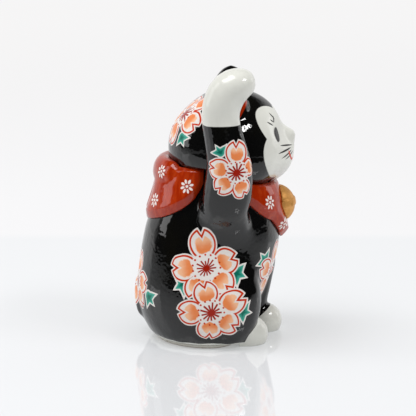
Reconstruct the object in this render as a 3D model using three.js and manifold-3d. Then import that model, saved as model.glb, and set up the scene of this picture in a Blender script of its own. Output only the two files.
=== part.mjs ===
// A lucky cat figurine in glazed porcelain: slip-cast shells and pressed pieces, luted together.
// Millimetres, +Z up. The cat faces -Y, its right side is -X, and it stands on z = 0.
import * as THREE from "three";
import { mergeVertices } from "three/addons/utils/BufferGeometryUtils.js";
import Module from "manifold-3d";

const wasm = await Module();
wasm.setup();

// Making: the slip layer in each luted seam, and the wall that slip casting leaves.
const LUTE = 0.3;
const WALL = 3.6;

// Torso: its greatest reach to the front, to the back and to each side.
const TORSO_FRONT = 29.6;
const TORSO_BACK = 31.2;
const TORSO_HALF_WIDTH = 31.6;
// Sections from the foot up, as shares of the neck's height and of those reaches.
const TORSO_SECTIONS = [
  { up: 0, front: 0.49, back: 0.737, half: 0.823 },
  { up: 0.054, front: 0.574, back: 0.859, half: 0.918 },
  { up: 0.148, front: 0.659, back: 0.955, half: 0.981 },
  { up: 0.282, front: 0.794, back: 1, half: 1 },
  { up: 0.43, front: 0.926, back: 0.968, half: 0.962 },
  { up: 0.577, front: 1, back: 0.91, half: 0.911 },
  { up: 0.685, front: 0.972, back: 0.846, half: 0.867 },
  { up: 0.792, front: 0.919, back: 0.731, half: 0.816 },
  { up: 0.899, front: 0.841, back: 0.654, half: 0.741 },
  { up: 1.02, front: 0.628, back: 0.59, half: 0.646 },
  { up: 1.262, front: 0.372, back: 0.417, half: 0.411 },
];
const TORSO_SEGMENTS = 52;
const TORSO_RINGS = 26;

// Haunches: one swelling inside each flank of the torso, above a hind foot.
const HAUNCH_INSET = 11.2;
const HAUNCH_AHEAD = 7.5;
const HAUNCH_HEIGHT = 20;
const HAUNCH_RADII = { x: 12.4, y: 14, z: 21 };

// Foot slab: a bare rim that shows under the glaze, a plug inside the shell, and the kiln vent.
const SLAB_RIM = 1.5;
const SLAB_PLUG = 3;
const VENT_RADIUS = 4;
const VENT_BACK = 9;

// Neck seam: where head and torso are luted. Behind its bend it lies level,
// a rise above the neck height, and it slopes down to the front.
const NECK_HEIGHT = 74.5;
const NECK_RISE = 1.5;
const NECK_BEND = 2;
const NECK_TILT = THREE.MathUtils.degToRad(18);

// Head: radii from its centre, with swellings and hollows given by azimuth and elevation from the nose.
const HEAD_ABOVE_NECK = 7.5;
const HEAD_AHEAD = 6;
const HEAD_HALF_WIDTH = 27.5;
const HEAD_FRONT = 25.5;
const HEAD_BACK = 23.6;
const HEAD_UP = 24.6;
const HEAD_DOWN = 20;
const HEAD_SWELLS = [
  { name: "right muzzle pad", azimuth: -11, elevation: -11, spread: 17, rise: 3 },
  { name: "left muzzle pad", azimuth: 11, elevation: -11, spread: 17, rise: 3 },
  { name: "nose", azimuth: 0, elevation: 11.6, spread: 6, rise: 3.7 },
  { name: "upper lip", azimuth: 0, elevation: 3, spread: 8, rise: 1.6 },
  { name: "forehead", azimuth: 0, elevation: 46, spread: 26, rise: 1.6 },
  { name: "back of the crown", azimuth: 180, elevation: 53, spread: 24, rise: -2 },
  { name: "chin", azimuth: 0, elevation: -31, spread: 13, rise: 2 },
  { name: "right cheek", azimuth: -50, elevation: -16, spread: 24, rise: 2 },
  { name: "left cheek", azimuth: 50, elevation: -16, spread: 24, rise: 2 },
  { name: "right eye hollow", azimuth: -22, elevation: 15, spread: 9, rise: -0.8 },
  { name: "left eye hollow", azimuth: 22, elevation: 15, spread: 9, rise: -0.8 },
];
const HEAD_SEGMENTS = 48;
const HEAD_RINGS = 34;

// Ears: cones on the crown, hollowed in front. The seat is an angle on the head's oval, up from its side.
const EAR_SEAT = THREE.MathUtils.degToRad(58.9);
const EAR_HEIGHT = 11.6;
const EAR_ROOT = 8;
const EAR_HALF_WIDTH = 10;
const EAR_BACK_DEPTH = 9.4;
const EAR_FRONT_DEPTH = 14;
const EAR_HOLLOW = 1.6;
const EAR_LEAN = { x: 0.12, y: -0.26 };

// Raised arm: stations from inside the flank, by the elbow, to the toes. They are measured from the
// shoulder point on the torso's right side.
const SHOULDER_BELOW_NECK = 12;
const ARM_STATIONS = [
  { out: -6, ahead: 5, up: -11, wide: 7, thick: 5 },
  { out: 1.6, ahead: 5.6, up: -4, wide: 9.6, thick: 7.2 },
  { out: 4.2, ahead: 7.2, up: 4.4, wide: 10, thick: 8.6 },
  { out: 6.6, ahead: 7.8, up: 17, wide: 9.2, thick: 8.4 },
  { out: 7.4, ahead: 5.6, up: 29, wide: 8, thick: 7.7 },
  { out: 7.4, ahead: 4.3, up: 36, wide: 7.6, thick: 7.5 },
  { out: 7.2, ahead: 4.9, up: 42.4, wide: 7.8, thick: 7.8 },
  { out: 6.6, ahead: 8, up: 48.2, wide: 7.8, thick: 8.6 },
  { out: 6, ahead: 13.2, up: 50.4, wide: 7, thick: 8.6 },
  { out: 5.6, ahead: 18.4, up: 50, wide: 6.6, thick: 8 },
];
const ARM_ELBOW_CAP = 6;
const ARM_TOE_CAP = 7;

// Upper arm: a swelling of the torso under the elbow, by stations from the same shoulder point.
const UPPER_ARM_STATIONS = [
  { out: -4.5, ahead: 6.5, up: -23, wide: 8.5, thick: 3 },
  { out: 0.4, ahead: 6.5, up: -9, wide: 10.5, thick: 5 },
  { out: 3.4, ahead: 6.8, up: 0, wide: 9, thick: 4.5 },
];
const UPPER_ARM_CAP = 4;

// Lowered foreleg on the left, with its paw flat on the ground.
const FORELEG_SIDE = 6;
const FORELEG_STATIONS = [
  { sink: 9.5, up: 44, wide: 5, thick: 5.4 },
  { sink: 5.6, up: 33, wide: 6.2, thick: 6.6 },
  { sink: 3.4, up: 23, wide: 5.9, thick: 6.2 },
  { sink: 1.4, up: 13, wide: 5.8, thick: 6 },
  { sink: -1.2, up: 5, wide: 5, thick: 6 },
];
const FORELEG_CAP = 5;
const PAW_AHEAD = 6.6;
const PAW_RADII = { x: 7.8, y: 7.6, z: 7.2 };
const PAW_RISE = 4.2;

// Hind feet, under the haunches.
const FOOT_INSET = 15.8;
const FOOT_AHEAD = 7.4;
const FOOT_RADII = { x: 8.4, y: 9.8, z: 8.2 };
const FOOT_RISE = 4;

// Tail: a short bob lying on the back.
const TAIL_STATIONS = [
  { side: -5, up: 8, proud: -2.6, radius: 4 },
  { side: -1, up: 15, proud: -3, radius: 4.6 },
  { side: 4, up: 21, proud: -3.2, radius: 4.4 },
  { side: 8, up: 24, proud: -3, radius: 3.8 },
];
const TAIL_CAP = 4;

// Kerchief: thickness, how far its top edge lies below the neck seam, and how far its hem drops below
// the seam at each angle.
const FLAP_THICKNESS = 3;
const BIB_THICKNESS = 3.8;
const KERCHIEF_EDGE = 0.2;
const HEM_BEVEL = 3.6;
const FLAP_BELOW_SEAM = 0.1;
const BIB_BELOW_SEAM = 1.6;
const BIB_HEM = [
  { angle: 0, drop: 26.6 },
  { angle: 12, drop: 23 },
  { angle: 25, drop: 17.6 },
  { angle: 39, drop: 15.4 },
  { angle: 54, drop: 10.8 },
  { angle: 72, drop: 8.4 },
  { angle: 98, drop: 6.8 },
];
const BIB_RIGHT_END = 68;
const FLAP_HEM = [
  { angle: 0, drop: 24.7 },
  { angle: 22, drop: 23.1 },
  { angle: 42, drop: 20.5 },
  { angle: 60, drop: 16.4 },
  { angle: 73, drop: 11.8 },
  { angle: 82, drop: 6 },
];
const FLAP_GATHER = { angle: 20, drop: 8, spreadAngle: 14, spreadDrop: 7, rise: 0.8 };
const HEM_STEPS = 20;

// Knot: a roll across the nape, over the tops of the flaps. Stations by angle from the nape.
const KNOT_STATIONS = [
  { angle: -56, tall: 4.4, deep: 2.2 },
  { angle: -43, tall: 6.2, deep: 4 },
  { angle: -25, tall: 6.8, deep: 4.6 },
  { angle: 0, tall: 7, deep: 4.8 },
  { angle: 25, tall: 6.8, deep: 4.6 },
  { angle: 43, tall: 6.2, deep: 4 },
  { angle: 56, tall: 4.4, deep: 2.2 },
];
const KNOT_BELOW_NECK = 3.2;
const KNOT_CAP = 6;

// Bell: a ball with a belt and a slit, half sunk in the bib.
const BELL_RADIUS = 8.2;
const BELL_BELT_PROUD = 0.5;
const BELL_BELT_HALF = 1.4;
const BELL_BELOW_SEAM = 12;
const BELL_SUNK = 3.66;
const BELL_TILT = THREE.MathUtils.degToRad(11);
const BELL_SLIT_WIDTH = 1.3;
const BELL_SLIT_DEPTH = 1.2;
const BELL_SLIT_SHARE = 0.45;

// A block large enough to cut any piece in two.
const CUTTER = 400;

const BLACK_GLAZE = { color: 0x0b0b0c, roughness: 0.08, metalness: 0 };
const WHITE_GLAZE = { color: 0xd8d8d0, roughness: 0.12, metalness: 0 };
const BARE_PORCELAIN = { color: 0xcfcdc2, roughness: 0.6, metalness: 0 };
const RED_ENAMEL = { color: 0x9e2605, roughness: 0.15, metalness: 0 };
const GOLD_LUSTRE = { color: 0xc8924a, roughness: 0.3, metalness: 1 };

// A smooth curve through stations: the value of one key where another key reaches a given place.
function smooth(stations, place, value, at) {
  const last = stations.length - 1;
  const slope = (i) => {
    const before = stations[Math.max(i - 1, 0)];
    const after = stations[Math.min(i + 1, last)];
    return (after[value] - before[value]) / (after[place] - before[place]);
  };
  let i = 0;
  while (i < last - 1 && at > stations[i + 1][place]) i += 1;
  const span = stations[i + 1][place] - stations[i][place];
  const t = THREE.MathUtils.clamp((at - stations[i][place]) / span, 0, 1);
  const rise = stations[i + 1][value] - stations[i][value];
  const startSlope = slope(i) * span;
  const endSlope = slope(i + 1) * span;
  const bend = startSlope + endSlope - 2 * rise;
  return stations[i][value] + t * (startSlope + t * (rise - startSlope - bend + t * bend));
}

// A closed skin over rings of points, each ring turning left about the way from the first to the last.
function skin(rings, firstPole, lastPole) {
  const count = rings[0].length;
  const points = [...rings.flat(), firstPole, lastPole];
  const first = points.length - 2;
  const last = points.length - 1;
  const faces = [];
  for (let k = 0; k < count; k += 1) {
    const next = (k + 1) % count;
    faces.push(first, next, k);
    for (let r = 0; r + 1 < rings.length; r += 1) {
      const below = r * count;
      const above = below + count;
      faces.push(below + k, below + next, above + next);
      faces.push(below + k, above + next, above + k);
    }
    const top = (rings.length - 1) * count;
    faces.push(top + k, top + next, last);
  }
  return new THREE.BufferGeometry().setFromPoints(points).setIndex(faces);
}

const sideways = new THREE.Vector3(1, 0, 0);

function middle(ring) {
  const sum = ring.reduce((total, point) => total.add(point), new THREE.Vector3());
  return sum.divideScalar(ring.length);
}

function solid(geometry) {
  const bare = geometry.clone();
  bare.deleteAttribute("normal");
  bare.deleteAttribute("uv");
  const merged = mergeVertices(bare);
  const vertProperties = merged.attributes.position.array;
  const triVerts = new Uint32Array(merged.index.array);
  return new wasm.Manifold(new wasm.Mesh({ numProp: 3, vertProperties, triVerts }));
}

function geometryOf(manifold) {
  const mesh = manifold.getMesh();
  const geometry = new THREE.BufferGeometry();
  geometry.setAttribute("position", new THREE.BufferAttribute(mesh.vertProperties, 3));
  geometry.setIndex(new THREE.BufferAttribute(mesh.triVerts, 1));
  geometry.computeVertexNormals();
  return geometry;
}

function ball(radii, grow, place, segments = 24, rows = 16) {
  const geometry = new THREE.SphereGeometry(1, segments, rows);
  geometry.rotateX(Math.PI / 2);
  geometry.scale(radii.x + grow, radii.y + grow, radii.z + grow);
  return geometry.translate(place.x, place.y, place.z);
}

// Blocks that cut along a level plane or along the neck seam.
function below(z) {
  const block = new THREE.BoxGeometry(CUTTER, CUTTER, CUTTER);
  return solid(block.translate(0, 0, z - CUTTER / 2));
}

function neckZ(y) {
  return NECK_HEIGHT + NECK_RISE + Math.min(y - NECK_BEND, 0) * Math.tan(NECK_TILT);
}

function neckBlock(side, gap) {
  const [level, sloped] = [0, NECK_TILT].map((tilt) => {
    const block = new THREE.BoxGeometry(CUTTER, CUTTER, CUTTER);
    block.translate(0, 0, side * (CUTTER / 2 + gap));
    return solid(block.rotateX(tilt).translate(0, NECK_BEND, NECK_HEIGHT + NECK_RISE));
  });
  return side > 0 ? level.add(sloped) : level.intersect(sloped);
}

const torsoSections = TORSO_SECTIONS.map((section) => ({
  z: section.up * NECK_HEIGHT,
  front: section.front * TORSO_FRONT,
  back: section.back * TORSO_BACK,
  half: section.half * TORSO_HALF_WIDTH,
}));
const torsoTop = torsoSections[torsoSections.length - 1].z;

// A point of the torso's surface: angle 0 is the front, and it grows towards the cat's left.
function torsoPoint(angle, z, grow = 0) {
  const half = smooth(torsoSections, "z", "half", z);
  const depth = smooth(torsoSections, "z", Math.cos(angle) > 0 ? "front" : "back", z);
  const outward = new THREE.Vector2(Math.sin(angle) / half, -Math.cos(angle) / depth).normalize();
  const x = half * Math.sin(angle) + grow * outward.x;
  const y = -depth * Math.cos(angle) + grow * outward.y;
  return new THREE.Vector3(x, y, z);
}

function torsoRing(z, grow) {
  const step = (2 * Math.PI) / TORSO_SEGMENTS;
  return Array.from({ length: TORSO_SEGMENTS }, (_, k) => torsoPoint(k * step, z, grow));
}

function torsoLoft(from, to, grow, rings) {
  const stack = Array.from({ length: rings + 1 }, (_, r) =>
    torsoRing(THREE.MathUtils.lerp(from, to, r / rings), grow),
  );
  return solid(skin(stack, middle(stack[0]), middle(stack[rings])));
}

function haunch(side, grow) {
  const place = new THREE.Vector3(side * (TORSO_HALF_WIDTH - HAUNCH_INSET), -HAUNCH_AHEAD, HAUNCH_HEIGHT);
  return solid(ball(HAUNCH_RADII, grow, place, 28, 18));
}

// The torso's whole outside, grown by the gap that its neighbours keep.
function torsoOutside(grow) {
  const lofted = torsoLoft(-grow, torsoTop, grow, TORSO_RINGS);
  const trimmed = lofted.subtract(neckBlock(1, grow));
  return trimmed.add(haunch(-1, grow)).add(haunch(1, grow)).add(upperArm(grow));
}

function torsoShell() {
  const cavity = torsoLoft(-WALL, torsoTop, -WALL, 12);
  return torsoOutside(0).subtract(cavity).subtract(below(SLAB_RIM + LUTE));
}

function footSlab() {
  const rim = torsoLoft(0, SLAB_RIM, 0, 2);
  const outline = torsoRing(SLAB_RIM, -WALL - LUTE);
  const lifted = (z) => outline.map((point) => point.clone().setZ(z));
  const plugTop = SLAB_RIM + SLAB_PLUG;
  const stack = [lifted(SLAB_RIM / 2), lifted(plugTop)];
  const plug = solid(skin(stack, middle(stack[0]), middle(stack[1])));
  const vent = new THREE.CylinderGeometry(VENT_RADIUS, VENT_RADIUS, CUTTER, 24);
  return rim.add(plug).subtract(solid(vent.rotateX(Math.PI / 2).translate(0, VENT_BACK, 0)));
}

// Directions on the head, from the nose: azimuth to the cat's left, elevation upwards, in degrees.
function headWay(azimuth, elevation) {
  const a = THREE.MathUtils.degToRad(azimuth);
  const e = THREE.MathUtils.degToRad(elevation);
  return new THREE.Vector3(Math.sin(a) * Math.cos(e), -Math.cos(a) * Math.cos(e), Math.sin(e));
}

const headCentre = new THREE.Vector3(0, -HEAD_AHEAD, NECK_HEIGHT + HEAD_ABOVE_NECK);
const headSwells = HEAD_SWELLS.map((swell) => ({
  way: headWay(swell.azimuth, swell.elevation),
  spread: THREE.MathUtils.degToRad(swell.spread),
  rise: swell.rise,
}));

function headPoint(way, grow = 0) {
  const depth = way.y < 0 ? HEAD_FRONT : HEAD_BACK;
  const tall = way.z > 0 ? HEAD_UP : HEAD_DOWN;
  let radius = 1 / Math.hypot(way.x / HEAD_HALF_WIDTH, way.y / depth, way.z / tall);
  for (const swell of headSwells) {
    radius += swell.rise * Math.exp(-((way.angleTo(swell.way) / swell.spread) ** 2));
  }
  return way.clone().multiplyScalar(radius + grow).add(headCentre);
}

// Rings round the axis from the nape to the nose, closest together at the nose.
function headOutside(grow, segments, count) {
  const nose = new THREE.Vector3(0, -1, 0);
  const nape = new THREE.Vector3(0, 1, 0);
  const rings = [];
  for (let r = count - 1; r > 0; r -= 1) {
    const polar = Math.PI * (r / count) ** 1.25;
    rings.push(
      Array.from({ length: segments }, (_, k) => {
        const roll = (2 * Math.PI * k) / segments;
        const way = new THREE.Vector3(Math.cos(roll), 0, Math.sin(roll));
        way.multiplyScalar(Math.sin(polar)).addScaledVector(nose, Math.cos(polar));
        return headPoint(way, grow);
      }),
    );
  }
  return solid(skin(rings, headPoint(nape, grow), headPoint(nose, grow)));
}

function headShell() {
  const outside = headOutside(0, HEAD_SEGMENTS, HEAD_RINGS);
  const cavity = headOutside(-WALL, 20, 12);
  return outside.subtract(cavity).subtract(neckBlock(-1, -LUTE));
}

// A limb: oval rings swept along a smooth line of stations, with round ends. Its thickness is across the
// line along the given direction, and its width is across both.
function limb(stations, startCap, endCap, grow, segments = 20, rings = 22, across = sideways) {
  const line = new THREE.CatmullRomCurve3(stations.map((station) => station.at));
  const length = line.getLength() + 2 * grow;
  const rows = stations.map((station, index) => ({ index, ...station }));
  const stack = [];
  for (let r = 1; r < rings; r += 1) {
    const along = (length * (1 - Math.cos((Math.PI * r) / rings))) / 2;
    const u = THREE.MathUtils.clamp((along - grow) / (length - 2 * grow), 0, 1);
    const share = line.getUtoTmapping(u);
    const overrun = along - grow - u * (length - 2 * grow);
    const ahead = line.getTangent(share);
    const centre = line.getPoint(share).addScaledVector(ahead, overrun);
    const side = across.clone().addScaledVector(ahead, -across.dot(ahead)).normalize();
    const front = ahead.clone().cross(side);
    const fromStart = Math.min(along / (startCap + grow), 1);
    const fromEnd = Math.min((length - along) / (endCap + grow), 1);
    const round = Math.sqrt((1 - (1 - fromStart) ** 2) * (1 - (1 - fromEnd) ** 2));
    const place = share * (stations.length - 1);
    const wide = (smooth(rows, "index", "wide", place) + grow) * round;
    const thick = (smooth(rows, "index", "thick", place) + grow) * round;
    stack.push(
      Array.from({ length: segments }, (_, k) => {
        const turn = (2 * Math.PI * k) / segments;
        return centre
          .clone()
          .addScaledVector(side, thick * Math.cos(turn))
          .addScaledVector(front, wide * Math.sin(turn));
      }),
    );
  }
  const firstPole = line.getPoint(0).addScaledVector(line.getTangent(0), -grow);
  const lastPole = line.getPoint(1).addScaledVector(line.getTangent(1), grow);
  return solid(skin(stack, firstPole, lastPole));
}

const shoulderZ = NECK_HEIGHT - SHOULDER_BELOW_NECK;
const shoulder = new THREE.Vector3(-smooth(torsoSections, "z", "half", shoulderZ), 0, shoulderZ);

function fromShoulder(stations) {
  return stations.map((station) => ({
    at: new THREE.Vector3(-station.out, -station.ahead, station.up).add(shoulder),
    wide: station.wide,
    thick: station.thick,
  }));
}

function armOutside(grow) {
  return limb(fromShoulder(ARM_STATIONS), ARM_ELBOW_CAP, ARM_TOE_CAP, grow, 32, 36);
}

function upperArm(grow) {
  return limb(fromShoulder(UPPER_ARM_STATIONS), UPPER_ARM_CAP, UPPER_ARM_CAP, grow, 20, 24);
}

// An ear: a cone of half-oval rings that rises from inside the head, thin and hollowed in front.
function earOutside(side, grow) {
  const aside = side * HEAD_HALF_WIDTH * Math.cos(EAR_SEAT);
  const seat = new THREE.Vector3(aside, 0, HEAD_UP * Math.sin(EAR_SEAT)).add(headCentre);
  const rise = new THREE.Vector3(side * EAR_LEAN.x, EAR_LEAN.y, 1);
  const rings = [];
  const rows = 11;
  for (let r = 0; r < rows; r += 1) {
    const up = r / rows;
    const share = Math.sqrt(1 - up);
    const centre = seat.clone().addScaledVector(rise, -EAR_ROOT + up * (EAR_HEIGHT + EAR_ROOT));
    const scoop = EAR_HOLLOW * Math.sin(Math.PI * up);
    rings.push(
      Array.from({ length: 28 }, (_, k) => {
        const turn = (2 * Math.PI * k) / 28;
        const back = Math.sin(turn);
        const depth = back > 0 ? EAR_BACK_DEPTH : EAR_FRONT_DEPTH - scoop;
        const x = (EAR_HALF_WIDTH * share + grow) * Math.cos(turn);
        return centre.clone().add(new THREE.Vector3(x, (depth * share + grow) * back, 0));
      }),
    );
  }
  const tip = seat.clone().addScaledVector(rise, EAR_HEIGHT + grow);
  return solid(skin(rings, middle(rings[0]), tip));
}

const chestAt = (z) => smooth(torsoSections, "z", "front", z);

function forelegOutside(grow) {
  const stations = FORELEG_STATIONS.map((station) => ({
    at: new THREE.Vector3(FORELEG_SIDE, station.sink - chestAt(station.up), station.up),
    wide: station.wide,
    thick: station.thick,
  }));
  const leg = limb(stations, FORELEG_CAP, FORELEG_CAP, grow);
  const paw = new THREE.Vector3(FORELEG_SIDE, -chestAt(PAW_RISE) - PAW_AHEAD, PAW_RISE);
  return leg.add(solid(ball(PAW_RADII, grow, paw)));
}

function footOutside(side, grow) {
  const aside = side * (TORSO_HALF_WIDTH - FOOT_INSET);
  const place = new THREE.Vector3(aside, -HAUNCH_AHEAD - FOOT_AHEAD, FOOT_RISE);
  return solid(ball(FOOT_RADII, grow, place));
}

function tailOutside(grow) {
  const stations = TAIL_STATIONS.map((station) => {
    const depth = smooth(torsoSections, "z", "back", station.up) + station.proud;
    const at = new THREE.Vector3(station.side, depth, station.up);
    return { at, wide: station.radius, thick: station.radius };
  });
  return limb(stations, TAIL_CAP, TAIL_CAP, grow, 16, 16);
}

// Cloth relief between two angles: a closed strip, rooted in the torso's wall, with a bevelled hem.
function clothRelief(from, to, cloth, grow) {
  const slices = [];
  const widen = grow / smooth(torsoSections, "z", "half", NECK_HEIGHT);
  for (let s = 0; s <= HEM_STEPS; s += 1) {
    const angle = THREE.MathUtils.lerp(from - widen, to + widen, s / HEM_STEPS);
    const endTaper = 1 - (1 - KERCHIEF_EDGE) * Math.abs(2 * (s / HEM_STEPS) - 1) ** 10;
    const seam = neckZ(torsoPoint(angle, NECK_HEIGHT).y);
    const top = seam - cloth.belowSeam + grow;
    const drop = cloth.dropAt(angle) - cloth.belowSeam + 2 * grow;
    const bevel = Math.min(HEM_BEVEL, drop / 2);
    const falls = [drop, drop - bevel / 2, drop - bevel, drop / 2, drop / 4, bevel / 4, 0];
    const fullness = [KERCHIEF_EDGE, 0.64, 1, 1, 1, 0.92, KERCHIEF_EDGE];
    const outer = [];
    const inner = [];
    falls.forEach((fall, row) => {
      const proud = (cloth.thickness + cloth.swellAt(angle, fall)) * fullness[row] * endTaper;
      outer.push(torsoPoint(angle, top - fall, LUTE + proud + grow));
      inner.push(torsoPoint(angle, top - fall, -WALL / 2));
    });
    slices.push([...inner, ...outer.reverse()]);
  }
  return solid(skin(slices, middle(slices[0]), middle(slices[HEM_STEPS])));
}

function degrees(angle) {
  return Math.abs(THREE.MathUtils.radToDeg(angle));
}

const flapEnd = THREE.MathUtils.degToRad(FLAP_HEM[FLAP_HEM.length - 1].angle);

// The bib runs from inside the raised arm's root, across the chest, to the left flap.
function bibOutside(grow) {
  const rightEnd = -THREE.MathUtils.degToRad(BIB_RIGHT_END);
  const leftEnd = Math.PI - flapEnd - LUTE / smooth(torsoSections, "z", "half", NECK_HEIGHT);
  const cloth = {
    thickness: BIB_THICKNESS,
    belowSeam: BIB_BELOW_SEAM,
    dropAt: (angle) => smooth(BIB_HEM, "angle", "drop", degrees(angle)),
    swellAt: () => 0,
  };
  return clothRelief(rightEnd, leftEnd, cloth, grow);
}

// A back flap runs from the nape, where it is gathered into the knot, to just behind the arm.
function flapOutside(side, grow) {
  const napeGap = LUTE / 2 / smooth(torsoSections, "z", "back", NECK_HEIGHT);
  const fromNape = (angle) => degrees(Math.PI - Math.abs(angle));
  const dropAt = (angle) => smooth(FLAP_HEM, "angle", "drop", fromNape(angle));
  const swellAt = (angle, fall) => {
    const sideways = (fromNape(angle) - FLAP_GATHER.angle) / FLAP_GATHER.spreadAngle;
    const down = (fall - FLAP_GATHER.drop) / FLAP_GATHER.spreadDrop;
    return FLAP_GATHER.rise * Math.exp(-(sideways ** 2) - down ** 2);
  };
  const cloth = { thickness: FLAP_THICKNESS, belowSeam: FLAP_BELOW_SEAM, dropAt, swellAt };
  const ends = [Math.PI - flapEnd, Math.PI - napeGap].map((angle) => side * angle);
  return clothRelief(Math.min(...ends), Math.max(...ends), cloth, grow);
}

function knotOutside(grow) {
  const knotZ = NECK_HEIGHT - KNOT_BELOW_NECK;
  const stations = KNOT_STATIONS.map((station) => ({
    at: torsoPoint(Math.PI - THREE.MathUtils.degToRad(station.angle), knotZ),
    wide: station.deep,
    thick: station.tall,
  }));
  const upwards = new THREE.Vector3(0, 0, 1);
  return limb(stations, KNOT_CAP, KNOT_CAP, grow, 20, 26, upwards);
}

const bellZ = neckZ(-chestAt(NECK_HEIGHT)) - BELL_BELOW_SEAM;

function bellOutside() {
  const beltLatitude = Math.asin(BELL_BELT_HALF / BELL_RADIUS);
  const beltRadius = BELL_RADIUS * Math.cos(beltLatitude) + BELL_BELT_PROUD;
  const steps = 8;
  const dome = Array.from({ length: steps + 1 }, (_, k) => {
    const latitude = THREE.MathUtils.lerp(beltLatitude, Math.PI / 2, k / steps);
    const radius = k < steps ? BELL_RADIUS * Math.cos(latitude) : 0;
    return new THREE.Vector2(radius, BELL_RADIUS * Math.sin(latitude));
  });
  const upper = [new THREE.Vector2(beltRadius, BELL_BELT_HALF), ...dome];
  const lower = upper.map((point) => new THREE.Vector2(point.x, -point.y)).reverse();
  const body = new THREE.LatheGeometry([...lower, ...upper], 24).rotateX(Math.PI / 2);
  const slitLength = BELL_SLIT_SHARE * BELL_RADIUS;
  const slit = new THREE.BoxGeometry(BELL_SLIT_WIDTH, 2 * BELL_RADIUS, slitLength);
  slit.translate(0, -BELL_RADIUS, -slitLength / 2 - BELL_BELT_HALF);
  const radii = { x: BELL_RADIUS, y: BELL_RADIUS, z: BELL_RADIUS };
  const core = ball(radii, -BELL_SLIT_DEPTH, new THREE.Vector3());
  const [whole, cut, kept] = [body, slit, core].map((geometry) => {
    geometry.rotateX(-BELL_TILT);
    return solid(geometry.translate(0, BELL_SUNK - chestAt(bellZ) - LUTE - BIB_THICKNESS, bellZ));
  });
  return whole.subtract(cut.subtract(kept));
}

const torsoGrown = torsoOutside(LUTE);
const headGrown = headOutside(LUTE, HEAD_SEGMENTS, HEAD_RINGS).subtract(neckBlock(-1, 0));
const slabGrown = torsoLoft(-LUTE, SLAB_RIM + LUTE, LUTE, 2);
const ground = below(0);

const arm = armOutside(0).subtract(torsoGrown).subtract(headGrown);
const armGrown = armOutside(LUTE);
const foreleg = forelegOutside(0).subtract(torsoGrown).subtract(slabGrown).subtract(ground);
const forelegGrown = forelegOutside(LUTE);

function hindFoot(side) {
  const foot = footOutside(side, 0).subtract(torsoGrown).subtract(slabGrown);
  return foot.subtract(forelegGrown).subtract(ground);
}

function ear(side) {
  return earOutside(side, 0).subtract(headGrown).subtract(armGrown);
}

function flap(side) {
  return flapOutside(side, 0).subtract(torsoGrown).subtract(headGrown).subtract(armGrown);
}

const bib = bibOutside(0).subtract(torsoGrown).subtract(headGrown).subtract(armGrown);
const bibGrown = bibOutside(LUTE);
const flapsGrown = flapOutside(-1, LUTE).add(flapOutside(1, LUTE));
const knot = knotOutside(0).subtract(flapsGrown).subtract(torsoGrown).subtract(headGrown);
const bell = bellOutside().subtract(bibGrown).subtract(torsoGrown).subtract(headGrown);
const tail = tailOutside(0).subtract(torsoGrown);

const cat = new THREE.Group();

function place(name, manifold, finish) {
  const mesh = new THREE.Mesh(geometryOf(manifold), new THREE.MeshStandardMaterial(finish));
  mesh.name = name;
  cat.add(mesh);
}

place("torso_shell", torsoShell(), BLACK_GLAZE);
place("foot_slab", footSlab(), BARE_PORCELAIN);
place("head_shell", headShell(), BLACK_GLAZE);
place("right_ear", ear(-1), BLACK_GLAZE);
place("left_ear", ear(1), BLACK_GLAZE);
place("raised_arm", arm, BLACK_GLAZE);
place("lowered_foreleg", foreleg, BLACK_GLAZE);
place("right_hind_foot", hindFoot(-1), WHITE_GLAZE);
place("left_hind_foot", hindFoot(1), WHITE_GLAZE);
place("tail", tail, BLACK_GLAZE);
place("bib", bib, RED_ENAMEL);
place("right_kerchief_flap", flap(-1), RED_ENAMEL);
place("left_kerchief_flap", flap(1), RED_ENAMEL);
place("kerchief_knot", knot, RED_ENAMEL);
place("bell", bell, GOLD_LUSTRE);

// The frame's origin is the middle of the footprint's box, on the ground.
const box = new THREE.Box3().setFromObject(cat);
const centre = box.getCenter(new THREE.Vector3());
cat.children.forEach((mesh) => mesh.position.set(-centre.x, -centre.y, 0));

export default cat;
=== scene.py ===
import math

import bpy
from bpy.props import FloatProperty, FloatVectorProperty, PointerProperty
from mathutils import Matrix, Vector
from mathutils.bvhtree import BVHTree
from mathutils.kdtree import KDTree


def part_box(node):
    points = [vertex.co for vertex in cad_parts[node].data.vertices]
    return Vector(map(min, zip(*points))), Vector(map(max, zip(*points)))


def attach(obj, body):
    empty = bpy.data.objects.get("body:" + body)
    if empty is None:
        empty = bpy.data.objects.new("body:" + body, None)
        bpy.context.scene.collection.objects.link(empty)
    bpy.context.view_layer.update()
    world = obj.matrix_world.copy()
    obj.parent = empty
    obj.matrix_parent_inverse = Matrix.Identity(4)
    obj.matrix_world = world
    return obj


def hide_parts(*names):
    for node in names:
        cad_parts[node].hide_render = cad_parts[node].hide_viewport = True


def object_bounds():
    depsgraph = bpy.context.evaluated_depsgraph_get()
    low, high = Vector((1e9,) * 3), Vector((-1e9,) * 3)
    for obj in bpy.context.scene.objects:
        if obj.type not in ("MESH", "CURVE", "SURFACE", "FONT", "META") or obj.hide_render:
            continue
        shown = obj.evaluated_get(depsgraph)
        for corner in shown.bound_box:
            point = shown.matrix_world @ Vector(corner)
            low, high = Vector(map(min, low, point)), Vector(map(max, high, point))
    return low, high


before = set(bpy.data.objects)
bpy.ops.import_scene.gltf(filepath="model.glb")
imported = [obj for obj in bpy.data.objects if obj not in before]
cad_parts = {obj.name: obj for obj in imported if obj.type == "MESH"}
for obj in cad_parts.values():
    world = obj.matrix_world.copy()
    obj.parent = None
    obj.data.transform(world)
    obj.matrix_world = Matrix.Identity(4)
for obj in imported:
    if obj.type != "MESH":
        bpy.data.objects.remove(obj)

CAD_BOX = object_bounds()

bl_info = {
    "name": "Lucky cat figurine",
    "version": (1, 0, 0),
    "blender": (4, 5, 0),
    "location": "View3D > Sidebar > Lucky cat",
    "description": "Glazes and paints a porcelain beckoning cat over its packed solids, and sets its stage",
    "category": "Object",
}

MM = 0.001
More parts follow.
